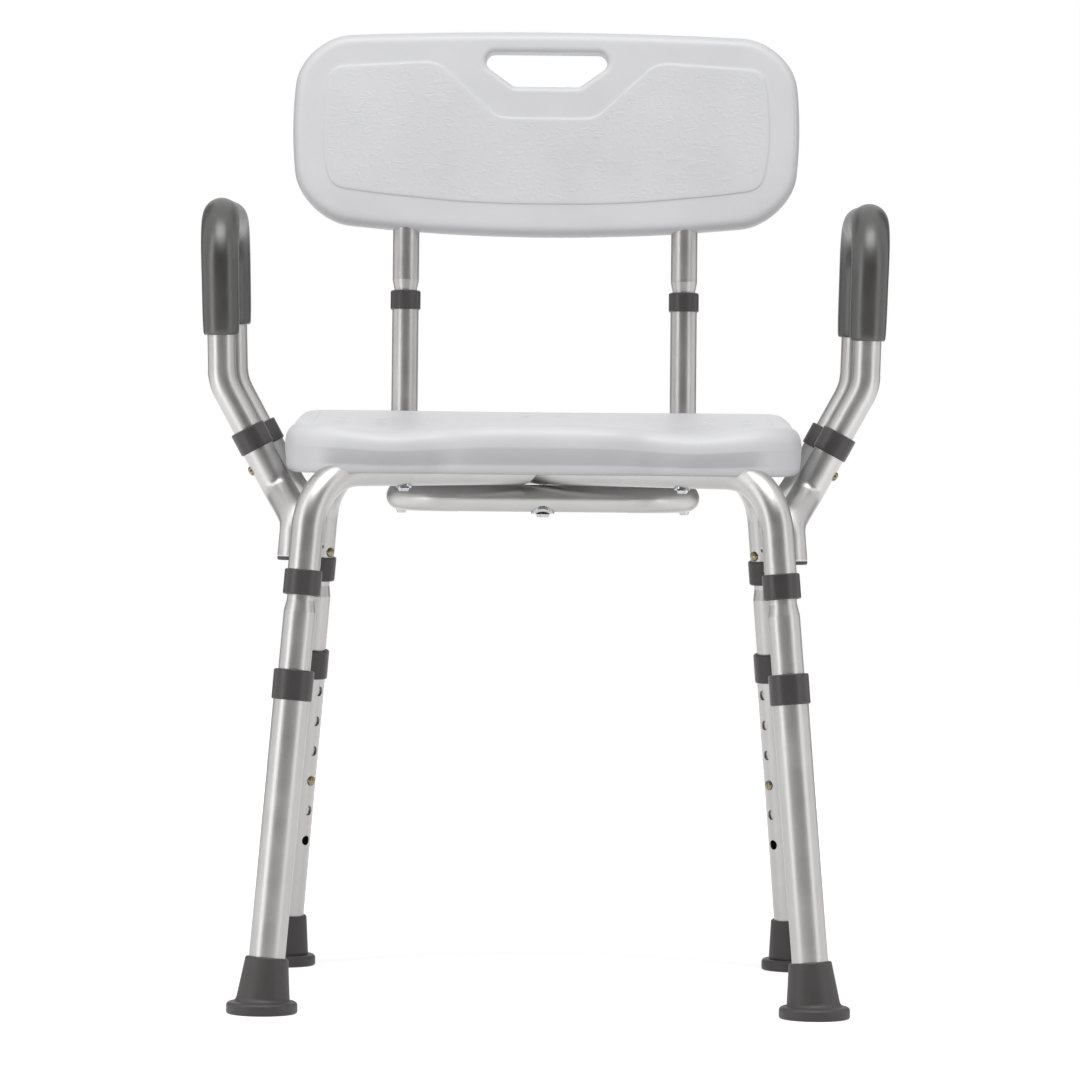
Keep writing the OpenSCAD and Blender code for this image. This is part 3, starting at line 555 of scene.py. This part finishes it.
# Cutter for one drain: a turned rod with a bevelled mouth
def drainCutter(x, y, top, count=28):
    angle = np.linspace(0, 2 * math.pi, count, endpoint=False)
    wider = np.array([0, 0, 1.2, 4]) * mm        # than the hole, at each height
    height = np.array([seat["low"] - 5 * mm, top - 2 * mm, top - 0.4 * mm, top + 2.4 * mm])
    ring = np.stack([np.cos(angle), np.sin(angle)], axis=1)
    grid = np.concatenate([(seat["drain"] + wider)[:, None, None] * ring[None] + np.array([x, y]),
                           np.broadcast_to(height[:, None, None], (len(height), count, 1))], axis=-1)
    return meshFromGrid("cutter", grid, closeColumns=True, capStart=True, capEnd=True)


# The seat is rows from the middle of the underside out, up round the edge and in over the top
def makeSeat():
    s, count = seat, seat["rows"]
    columns = s["columns"]
    outline = seatOutline(columns)
    normal = outwards(outline)
    rim = outline - normal * s["topRound"]
    # the face leans in under its widest line, most of all in front; its lower edge is rounder at the ends
    lean = s["underLean"] + s["frontLean"] * smoothStep(0.88, 1.0, -normal[:, 1:])
    reach = s["lowRound"] + s["endRound"] * smoothStep(0.75, 1.0, np.abs(normal[:, :1]))
    sole = outline - normal * (lean + reach)
    rows = [sole * share for share in np.linspace(0.03, 1, count["under"])[:-1]]
    levels = [np.zeros(columns)] * len(rows)
    # up the edge: a small round, the leaning face, then a fuller round to the top
    height, widest = s["front"] - s["low"], s["widest"]
    low = s["lowRise"] / height
    c, a = roundedEdge(np.radians(np.linspace(-90, 0, count["low"])), s["lowPower"])
    edge = [(lean + reach * (1 - across), low * (1 + up)) for across, up in zip(c, a)]
    for share in np.linspace(0, 1, count["face"])[1:-1]:
        edge.append((lean * (1 - share) ** s["leanPower"], low + (widest - low) * share))
    c, a = roundedEdge(np.radians(np.linspace(0, 90, count["round"])), s["topPower"])
    edge += [(s["topRound"] * (1 - across), widest + (1 - widest) * up) for across, up in zip(c, a)]
    for inset, up in edge:
        line = s["partingRise"] * math.exp(-((up - s["parting"]) / s["partingWidth"]) ** 2)
        rows.append(outline - normal * (inset - line))
        levels.append(np.full(columns, up))
    shares = np.linspace(1, 0.02, count["top"])[1:]
    rows += [rim * share for share in shares]
    levels += [np.ones(columns)] * len(shares)
    flat, level = np.array(rows), np.array(levels)
    top = seatTop(flat[..., 0], flat[..., 1])
    grid = np.concatenate([flat, (s["low"] + (top - s["low"]) * level)[..., None]], axis=-1)
    mesh = meshFromGrid("seatShell", grid, closeColumns=True, capStart=True, capEnd=True)
    piece = addPiece("seatShell", mesh, polyethylene, "frame", "seat_plastic", "seat")

    places = drainPlaces()
    cutters = bmesh.new()
    for x, y in places:
        cutters.from_mesh(drainCutter(x, y, float(seatTop(np.array(x), np.array(y)))))
    bmesh.ops.recalc_face_normals(cutters, faces=cutters.faces)
    cutterMesh = bpy.data.meshes.new("cutters")
    cutters.to_mesh(cutterMesh)
    cutters.free()
    cutter = bpy.data.objects.new("cutters", cutterMesh)
    bpy.context.scene.collection.objects.link(cutter)
    cut = piece.modifiers.new("drains", "BOOLEAN")
    cut.object, cut.operation, cut.solver = cutter, "DIFFERENCE", "EXACT"
    bpy.context.view_layer.update()
    finished = bpy.data.meshes.new_from_object(piece.evaluated_get(bpy.context.evaluated_depsgraph_get()))
    piece.modifiers.clear()
    piece.data = finished
    bpy.data.objects.remove(cutter)

    # the top is the panel, apart from a margin along its edge and round each drain
    points = np.empty(len(finished.vertices) * 3, np.float32)
    finished.vertices.foreach_get("co", points)
    points = points.reshape(-1, 3)
    inside = insideDistance(points[:, :2], evenly(outline, 200)) - s["panelInset"]
    for x, y in places:
        beyond = np.hypot(points[:, 0] - x, points[:, 1] - y) - s["drain"] - s["drainMargin"]
        inside = np.minimum(inside, beyond)
    onTop = points[:, 2] > seatTop(points[:, 0], points[:, 1]) - s["panelDepth"]
    paintDistance(finished, np.where(onTop, inside, farOutside))


makeSeat()
print("seat")


# ---- tubes, sockets, grips and feet ----

chair = {
    "feet": (433 * mm, 378 * mm), "legLean": math.radians(6.35), "frameD": 25.4 * mm, "lightD": 22.2 * mm,
    "wall": 1.3 * mm, "outerD": 28.6 * mm, "socketD": 25.4 * mm, "armX": 256 * mm, "armY": 100 * mm,
    "armFlare": 3.5 * mm, "armTop": 626 * mm, "armTurn": 494 * mm, "armLean": math.radians(28.5),
    # a socket's axis beside its leg's: how far, and how far round from straight out
    "socketOffset": 25 * mm, "socketSide": math.radians(108),
}


# Signs of a corner's X and Y
def sideOf(corner):
    return (-1 if "left" in corner else 1), (-1 if "front" in corner else 1)


# Point on a corner's leg axis at a height: the legs lean outwards along the diagonals
def legPoint(corner, z):
    sx, sy = sideOf(corner)
    w, d = chair["feet"]
    along = math.hypot(w, d) / 2
    share = (along - z * math.tan(chair["legLean"])) / along
    return np.array([sx * w / 2 * share, sy * d / 2 * share, z])


def legAxis(corner):
    v = legPoint(corner, 0.1) - legPoint(corner, 0.0)
    return v / np.linalg.norm(v)


# Level direction from a corner's leg to the arm socket beside it
def towardsSocket(corner):
    sx, sy = sideOf(corner)
    w, d = chair["feet"]
    turn = math.atan2(sy * d, sx * w) - sx * sy * chair["socketSide"]
    return np.array([math.cos(turn), math.sin(turn), 0])


# Path through the points with a round bend of the given radius at each inner one, resampled evenly; also
# how far along it each sample lies
def bentPath(points, radii, step=2.5 * mm, arcPoints=90):
    p = [np.array(q, float) for q in points]
    out = [p[0]]
    for i in range(1, len(p) - 1):
        u = (p[i] - p[i - 1]) / np.linalg.norm(p[i] - p[i - 1])
        w = (p[i + 1] - p[i]) / np.linalg.norm(p[i + 1] - p[i])
        turn = math.acos(np.clip(u @ w, -1, 1))
        back = radii[i] * math.tan(turn / 2)
        n = w - (w @ u) * u
        n /= np.linalg.norm(n)
        centre = p[i] - u * back + n * radii[i]
        a = np.linspace(0, turn, arcPoints)[:, None]
        out.extend(centre - n * radii[i] * np.cos(a) + u * radii[i] * np.sin(a))
    out.append(p[-1])
    path = np.array(out)
    along = np.concatenate([[0], np.cumsum(np.linalg.norm(np.diff(path, axis=0), axis=1))])
    at = np.linspace(0, along[-1], round(along[-1] / step) + 1)
    return np.stack([np.interp(at, along, path[:, k]) for k in range(3)], axis=1), at


# Directions across a flat path: one in its plane, one square to it
def acrossPath(path, planeNormal):
    tangent = np.gradient(path, axis=0)
    tangent /= np.linalg.norm(tangent, axis=1, keepdims=True)
    inPlane = np.cross(planeNormal, tangent)
    inPlane /= np.linalg.norm(inPlane, axis=1, keepdims=True)
    return inPlane, np.cross(tangent, inPlane)


# Oval section carried along a flat path: half sizes a in the path's plane and b square to it, per point
def carried(path, planeNormal, a, b, count=40):
    inPlane, square = acrossPath(path, np.array(planeNormal, float))
    angle = np.linspace(0, 2 * math.pi, count, endpoint=False)
    a = np.broadcast_to(a, len(path))[:, None, None]
    b = np.broadcast_to(b, len(path))[:, None, None]
    return path[:, None] + a * inPlane[:, None] * np.cos(angle)[None, :, None] \
        + b * square[:, None] * np.sin(angle)[None, :, None]


# Foam grip: a sleeve over the arm's top, fuller at its bends and slimmer at its ends, which roll in to
# the tube
def makeGrip(side):
    c = chair
    grip = {"diameter": 29.6 * mm, "front": 531 * mm, "rear": {"left": 540 * mm, "right": 534 * mm},
            "bend": 42 * mm, "endRound": 1.6 * mm, "endDepth": 6 * mm,
            "swell": 0.5 * mm, "swellAt": 88 * mm, "swellReach": 30 * mm,     # along the grip from either end
            "slim": 0.8 * mm, "slimReach": 9 * mm}
    k = -1 if side == "left" else 1
    y = c["armY"]

    def armX(z):
        return k * (c["armX"] + c["armFlare"] * (z - c["armTurn"]) / (c["armTop"] - c["armTurn"]))

    levels = [grip["front"], c["armTop"], c["armTop"], grip["rear"][side]]
    path, at = bentPath([(armX(z), y * way, z) for z, way in zip(levels, (-1, -1, 1, 1))],
                        [0, grip["bend"], grip["bend"], 0])
    normal = np.cross(path[len(path) // 2] - path[0], path[-1] - path[0])
    end = np.minimum(at, at[-1] - at)
    swell = grip["swell"] * np.exp(-((end - grip["swellAt"]) / grip["swellReach"]) ** 2)
    radius = grip["diameter"] / 2 + swell - grip["slim"] * np.exp(-end / grip["slimReach"])
    sleeve = carried(path, normal, radius, radius)
    rolls = []
    for row, nextRow in ((0, 1), (-1, -2)):
        middle = sleeve[row].mean(axis=0)
        tangent = path[nextRow] - path[row]
        tangent = tangent / np.linalg.norm(tangent)
        size = np.linalg.norm(sleeve[row] - middle, axis=1).mean()
        turn = np.radians(np.linspace(0, 90, 7))[1:]
        inner = np.concatenate([size - grip["endRound"] * (1 - np.cos(turn)), [c["lightD"] / 2 + hair] * 2])
        down = np.concatenate([-grip["endRound"] * np.sin(turn), [-grip["endRound"], grip["endDepth"]]])
        down = down + grip["endRound"]
        ring = (sleeve[row] - middle) / size
        rolls.append(middle + ring[None] * inner[:, None, None] + tangent * down[:, None, None])
        sleeve[row] = sleeve[row] + tangent * grip["endRound"]
    grid = np.concatenate([rolls[0][::-1], sleeve, rolls[1]])
    mesh = meshFromGrid("gripSleeve_" + side, grid, closeColumns=True)
    addPiece("gripSleeve_" + side, mesh, gripFoam, "arm_" + side, "grip_foam", "arm_grip_" + side)


# Welded socket: straight under its collar, bent over to the leg stub, then down the stub's side, where it is
# pressed flatter against the leg. Its last rows slide along the tube until the end lies level.
def makeSocket(corner):
    c = chair
    socket = {"top": 454 * mm, "turn": 408 * mm, "knee": 386 * mm, "end": 357 * mm,
              "bends": (20 * mm, 16 * mm), "level": 22 * mm, "lip": 0.35 * mm, "step": 1.5 * mm,
              # shares of the radius: over the lower end, and once more just above it; distances from the end
              "press": 0.1, "pressSpan": (56 * mm, 30 * mm), "pinch": 0.07, "pinchAt": 26 * mm,
              "pinchReach": 10 * mm, "widen": 0.5}
    sx, sy = sideOf(corner)
    beside = towardsSocket(corner)
    offset = c["socketOffset"] * beside

    def upper(z):
        return (sx * (c["armX"] - (c["armTurn"] - z) * math.tan(c["armLean"])), sy * c["armY"], z)

    points = [upper(socket["top"]), upper(socket["turn"]), legPoint(corner, socket["knee"]) + offset,
              legPoint(corner, socket["end"]) + offset]
    path, at = bentPath(points, [0, *socket["bends"], 0], socket["step"])
    normal = np.cross(np.subtract(points[1], points[0]), np.subtract(points[2], points[1]))
    left = at[-1] - at
    press = socket["press"] * smoothStep(*socket["pressSpan"], left) \
        + socket["pinch"] * np.exp(-((left - socket["pinchAt"]) / socket["pinchReach"]) ** 2)
    path = path - beside * (press * c["socketD"] / 2)[:, None]
    blend = smoothStep(socket["level"], 0, left)[:, None]
    tangent = np.gradient(path, axis=0)
    tangent /= np.linalg.norm(tangent, axis=1, keepdims=True)

    def levelled(radius):
        rows = carried(path, normal, radius * (1 - press), radius * (1 + press * socket["widen"]))
        high = rows[..., 2] - path[:, None, 2]
        return rows - tangent[:, None] * (high / tangent[:, None, 2] * blend)[..., None]

    outer = levelled(c["socketD"] / 2)
    bore = levelled(c["socketD"] / 2 - c["wall"])
    lip = (outer[-1] + bore[-1]) / 2 - np.array([0, 0, socket["lip"]])
    grid = np.concatenate([outer, lip[None], bore[::-1]])
    # lay it against the leg: no point comes closer to the leg's axis than its surface
    axis, base = legAxis(corner), legPoint(corner, 0.0)
    off = grid - base
    radial = off - (off @ axis)[..., None] * axis
    distance = np.linalg.norm(radial, axis=-1, keepdims=True)
    shell = np.full(len(grid), c["frameD"] / 2 + hair)
    shell[len(outer) + 1:] += c["wall"]
    grid = grid + radial / distance * np.maximum(0, shell[:, None, None] - distance)
    mesh = meshFromGrid("socketTube_" + corner, grid, closeRows=True, closeColumns=True)
    addPiece("socketTube_" + corner, mesh, aluminium, "frame", "tube_aluminium", "arm_socket_" + corner)
    makePlug(corner, grid[len(outer) - 1])


# Plastic plug in a socket's end: a flat head as wide as the tube, with a rounded edge, and a short shank
def makePlug(corner, rim):
    plug = {"head": 3 * mm, "shank": 4 * mm, "shankShare": 0.8, "under": 0.9, "edge": 0.93,
            "topRound": 0.7 * mm, "lowRound": 0.9 * mm}
    middle = rim.mean(axis=0)
    turn = np.radians(np.linspace(0, 90, 6))
    swing = 1 - plug["edge"]
    share = np.concatenate([[plug["under"]], plug["edge"] + swing * np.sin(turn),
                            plug["edge"] + swing * np.cos(turn)[1:], [0.02]])
    drop = np.concatenate([[-plug["shank"]], plug["topRound"] * (1 - np.cos(turn)),
                           plug["head"] - plug["lowRound"] * (1 - np.sin(turn))[1:], [plug["head"]]])
    grid = middle + (rim - middle) * share[:, None, None] - np.array([0, 0, 1]) * drop[:, None, None]
    grid[0] = middle + (rim - middle) * plug["shankShare"] + np.array([0, 0, plug["shank"]])
    mesh = meshFromGrid("socketPlug_" + corner, grid, closeColumns=True, capStart=True, capEnd=True)
    addPiece("socketPlug_" + corner, mesh, collarPlastic, "frame", "collar_plastic", "socket_plugs")


# Weld: a bead of small overlapping ripples along each side of the line where a socket lies on its leg
def makeWeld(corner):
    weld = {"low": 360 * mm, "high": 396 * mm, "width": 1.7 * mm, "ripple": 0.35 * mm, "pitch": 2.4 * mm,
            "aside": 4.4 * mm, "taper": 2 * mm, "tip": 0.35}
    axis = legAxis(corner)
    toSocket = towardsSocket(corner)
    toSocket -= (toSocket @ axis) * axis
    toSocket /= np.linalg.norm(toSocket)
    aside = np.cross(axis, toSocket)
    z = np.linspace(weld["low"], weld["high"], 70)
    between = np.array([legPoint(corner, v) for v in z]) + toSocket * (chair["socketOffset"] / 2)
    # ripples along it, slimmer at both ends
    size = weld["width"] + weld["ripple"] * np.abs(np.sin(np.pi * z / weld["pitch"]))
    end = np.minimum(z - weld["low"], weld["high"] - z)
    size = size * np.clip(end / weld["taper"] + weld["tip"], weld["tip"], 1)
    for k in (-1, 1):
        # the two tubes part slowly: the bead sits where their surfaces are as far apart as it is wide
        grid = carried(between + aside * k * weld["aside"], toSocket, size, size, 14)
        mesh = meshFromGrid("weldBead_" + corner, grid, closeColumns=True, capStart=True, capEnd=True)
        name = f"weldBead_{corner}_{'inner' if k < 0 else 'outer'}"
        addPiece(name, mesh, weldMetal, "frame", "tube_aluminium")


# Foot: flat rows for the tread and flange, rows that tip over to the leg's lean for the cone, then its bore
def makeFoot(corner):
    foot = {"flange": 28 * mm, "flangeHeight": 9.5 * mm, "height": 44 * mm, "low": 21 * mm, "high": 17 * mm,
            "fillet": 2.2 * mm, "rim": 1.4 * mm, "soleRound": 2 * mm, "flangeRound": 3 * mm, "sole": 12 * mm,
            "grooves": (8 * mm, 15 * mm, 22 * mm), "grooveDepth": 1.5 * mm, "grooveWidth": 1.5 * mm,
            "grooveSlope": 0.2 * mm, "centre": 0.5 * mm}
    r, h = foot["flange"], foot["flangeHeight"]
    bore = chair["outerD"] / 2 + hair
    turn = np.radians(np.linspace(0, 90, 7))

    # part of a circle about a point of the section, through these angles
    def rounded(centreR, centreZ, radius, angles, lean):
        return [(centreR + radius * math.cos(a), centreZ + radius * math.sin(a), share)
                for a, share in zip(angles, lean)]

    # points of the section: radius, height, share of the leg's lean
    profile = [(foot["centre"], 0, 0)]
    for g in foot["grooves"]:
        wide, deep, slope = foot["grooveWidth"], foot["grooveDepth"], foot["grooveSlope"]
        profile += [(g, 0, 0), (g + slope, deep, 0), (g + wide - slope, deep, 0), (g + wide, 0, 0)]
    level, tipping, whole = np.zeros(7), 0.15 + 0.85 * turn / turn[-1], np.ones(7)
    profile += rounded(r - foot["soleRound"], foot["soleRound"], foot["soleRound"], turn - math.pi / 2, level)
    profile += rounded(r - foot["flangeRound"], h - foot["flangeRound"], foot["flangeRound"], turn, level)
    fillet, coneLow, coneHigh = foot["fillet"], h + foot["fillet"], foot["height"] - foot["rim"]
    profile += rounded(foot["low"] + fillet, coneLow, fillet, -math.pi / 2 - turn, tipping)
    for share in np.linspace(0, 1, 14)[1:]:
        up = coneLow + (coneHigh - coneLow) * share
        profile.append((foot["low"] + (foot["high"] - foot["low"]) * share, up, 1))
    profile += rounded(foot["high"] - foot["rim"], coneHigh, foot["rim"], turn[1:], whole)
    profile += [(bore, foot["height"], 1), (bore, foot["sole"], 1), (foot["centre"], foot["sole"], 1)]
    radius, height, lean = np.array(profile).T
    angle = np.linspace(0, 2 * math.pi, 72, endpoint=False)
    axis = legAxis(corner)
    centre = legPoint(corner, 0.0) + axis * height[:, None]
    flat = legPoint(corner, 0.0) + np.array([0, 0, 1]) * height[:, None]
    toCorner = np.array([axis[0], axis[1], 0]) / np.linalg.norm(axis[:2])
    side = np.cross([0, 0, 1], toCorner)
    tipped = np.cross(axis, side)
    tipped *= np.sign(tipped @ toCorner)
    middle = flat + (centre - flat) * lean[:, None]
    u = toCorner + (tipped - toCorner) * lean[:, None]
    u /= np.linalg.norm(u, axis=1, keepdims=True)
    grid = middle[:, None] + radius[:, None, None] * (u[:, None] * np.cos(angle)[None, :, None]
                                                     + side * np.sin(angle)[None, :, None])
    mesh = meshFromGrid("rubberFoot_" + corner, grid, closeColumns=True, capStart=True, capEnd=True)
    addPiece("rubberFoot_" + corner, mesh, footRubber, "outer_leg_" + corner, "foot_rubber", "foot_" + corner)


for side in sides:
    makeGrip(side)
for corner in corners:
    makeSocket(corner)
    makeWeld(corner)
    makeFoot(corner)
print("grips, sockets and feet")


# ---- floor ----

# 1 for what the camera, metal and clear things see, 0 for what lights the chair
def seenWhite(tree):
    path = addNode(tree, "ShaderNodeLightPath")
    direct = joined(tree, "MAXIMUM", path.outputs["Is Camera Ray"], path.outputs["Is Glossy Ray"])
    return joined(tree, "MAXIMUM", direct, path.outputs["Is Transmission Ray"])


# The floor glows white further out, and keeps the shadow close to the feet
def makeFloor():
    finish = {"colour": "#bdbdbd", "size": 9.0, "glow": (0.76, 1.0), "from": (0.35, 1.0)}
    material = bpy.data.materials.new("paleStudioFloor")
    material.use_nodes = True
    tree = material.node_tree
    tree.nodes.clear()
    place = addNode(tree, "ShaderNodeTexCoord").outputs["Object"]
    away = addNode(tree, "ShaderNodeVectorMath", {0: place}, operation="LENGTH").outputs["Value"]
    strength = mapped(tree, away, *finish["glow"], *finish["from"], "SMOOTHSTEP")
    matt = addNode(tree, "ShaderNodeBsdfDiffuse", {"Color": linear(finish["colour"])})
    glow = addNode(tree, "ShaderNodeEmission", {"Color": (1, 1, 1, 1), "Strength": strength})
    both = addNode(tree, "ShaderNodeAddShader", {0: matt.outputs[0], 1: glow.outputs[0]})
    mix = addNode(tree, "ShaderNodeMixShader", {0: seenWhite(tree), 1: matt.outputs[0], 2: both.outputs[0]})
    addNode(tree, "ShaderNodeOutputMaterial", {"Surface": mix.outputs[0]})
    h = finish["size"] / 2
    mesh = bpy.data.meshes.new("floor")
    mesh.from_pydata([(-h, -h, 0), (h, -h, 0), (h, h, 0), (-h, h, 0)], [], [(0, 1, 2, 3)])
    mesh.materials.append(material)
    floor = bpy.data.objects.new("floor", mesh)
    bpy.context.scene.collection.objects.link(floor)


# Grey cards in front and behind that only gloss shows: they give bright tubes their dark bands
def makeCards():
    # halfWidth: degrees either side of each azimuth, which runs from the front
    card = {"colour": "#595959", "halfWidth": {0: 74, 140: 13, 220: 13}, "distance": 3.0,
            "height": (-1.0, 3.4), "columns": 13}
    material = bpy.data.materials.new("greyStudioCard")
    material.use_nodes = True
    tree = material.node_tree
    tree.nodes.clear()
    tone = addNode(tree, "ShaderNodeEmission", {"Color": linear(card["colour"]), "Strength": 1.0})
    addNode(tree, "ShaderNodeOutputMaterial", {"Surface": tone.outputs[0]})
    r = card["distance"]
    for azimuth, half in card["halfWidth"].items():
        turns = np.radians(azimuth + np.linspace(-half, half, card["columns"]))
        line = np.stack([r * np.sin(turns), -r * np.cos(turns)], axis=1)
        grid = np.stack([np.column_stack([line, np.full(len(line), z)]) for z in card["height"]])
        mesh = meshFromGrid("card", grid)
        mesh.materials.append(material)
        piece = bpy.data.objects.new("card", mesh)
        bpy.context.scene.collection.objects.link(piece)
        piece.visible_camera = piece.visible_diffuse = piece.visible_shadow = False


# Room: a dim even light on the chair, and white for what the camera and gloss see
def makeWorld():
    world = bpy.data.worlds.new("studio")
    bpy.context.scene.world = world
    world.use_nodes = True
    tree = world.node_tree
    tree.nodes.clear()
    room = addNode(tree, "ShaderNodeBackground", {"Color": (1, 1, 1, 1), "Strength": roomStrength})
    white = addNode(tree, "ShaderNodeBackground", {"Color": (1, 1, 1, 1), "Strength": 1.0})
    mix = addNode(tree, "ShaderNodeMixShader", {0: seenWhite(tree), 1: room.outputs[0], 2: white.outputs[0]})
    addNode(tree, "ShaderNodeOutputWorld", {"Surface": mix.outputs[0]})


makeFloor()
makeCards()
makeWorld()
print("done")
